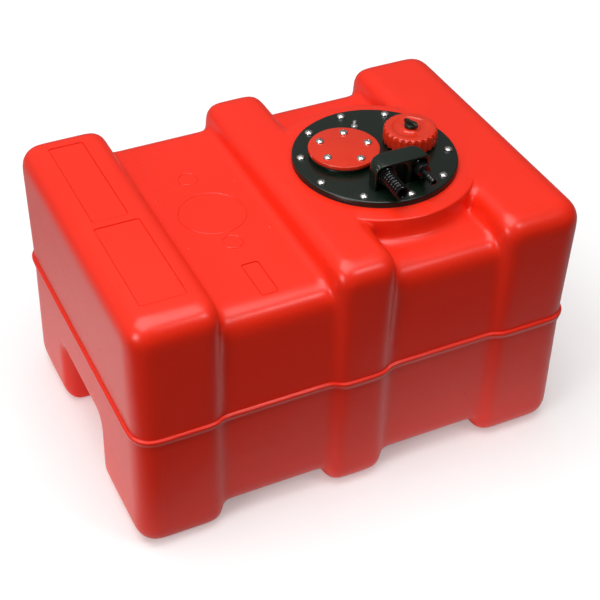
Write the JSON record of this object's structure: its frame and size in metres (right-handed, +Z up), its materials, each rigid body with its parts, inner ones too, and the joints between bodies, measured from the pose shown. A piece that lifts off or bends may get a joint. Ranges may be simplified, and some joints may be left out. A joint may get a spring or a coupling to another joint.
{
  "type": "fixed fuel tank",
  "caption": "Ribbed plastic fuel tank with a bolted top plate that carries a vented screw cap, a blanked sender port and two hose outlets.",
  "frame": {"origin": "centre of the tank's base, on the surface it stands on", "axes": "+X along the tank's length, towards the end that carries the filler; +Y towards the back long side, away from the hose outlets; +Z up"},
  "size_m": [0.504, 0.354, 0.336],
  "materials": {
    "tank_plastic": "glossy moulded polyethylene",
    "red_plastic": "semi-gloss moulded",
    "black_plastic": "semi-gloss moulded",
    "fitting_plastic": "satin moulded",
    "pickup_plastic": "extruded tube",
    "strainer_plastic": "woven mesh",
    "gasket_rubber": "matte",
    "seal_rubber": "matte",
    "screw_steel": "bright zinc",
    "brass_insert": "turned"
  },
  "bodies": {
    "tank": {"tank_shell": "tank_plastic", "flange_inserts": "brass_insert", "flange_gasket": "gasket_rubber", "flange_plate": "black_plastic", "flange_screws": "screw_steel", "sender_inserts": "brass_insert", "sender_gasket": "gasket_rubber", "sender_cover": "red_plastic", "sender_screws": "screw_steel", "vent_spigot": "fitting_plastic", "vent_spigot_o_ring": "seal_rubber", "fuel_tail": "fitting_plastic", "fuel_tail_o_ring": "seal_rubber", "pickup_tube": "pickup_plastic", "pickup_strainer": "strainer_plastic", "strainer_cap": "black_plastic", "bonding_screw": "screw_steel", "bonding_nut": "screw_steel"},
    "seal": {"cap_seal": "seal_rubber"},
    "cap": {"filler_cap": "red_plastic"},
    "vent_ring": {"vent_o_ring": "seal_rubber"},
    "vent": {"vent_screw": "black_plastic"}
  },
  "joints": [
    {"name": "cap_lift", "type": "slide", "parent": "tank", "child": "seal", "axis": [0, 0, 1], "range_m": [0, 0.015]},
    {"name": "cap_turn", "type": "hinge", "parent": "seal", "child": "cap", "pos_m": [0.133, -0.006, 0.32], "axis": [0, 0, 1], "range_deg": [0, 1081]},
    {"name": "vent_lift", "type": "slide", "parent": "cap", "child": "vent_ring", "axis": [0, 0, 1], "range_m": [0, 0.005]},
    {"name": "vent_turn", "type": "hinge", "parent": "vent_ring", "child": "vent", "pos_m": [0.133, -0.006, 0.325], "axis": [0, 0, 1], "range_deg": [0, 721]}
  ],
  "couplings": [
    {"joint": "cap_turn", "follows": "cap_lift", "rad_per_m": 1256.6},
    {"joint": "vent_turn", "follows": "vent_lift", "rad_per_m": 2513.3}
  ]
}
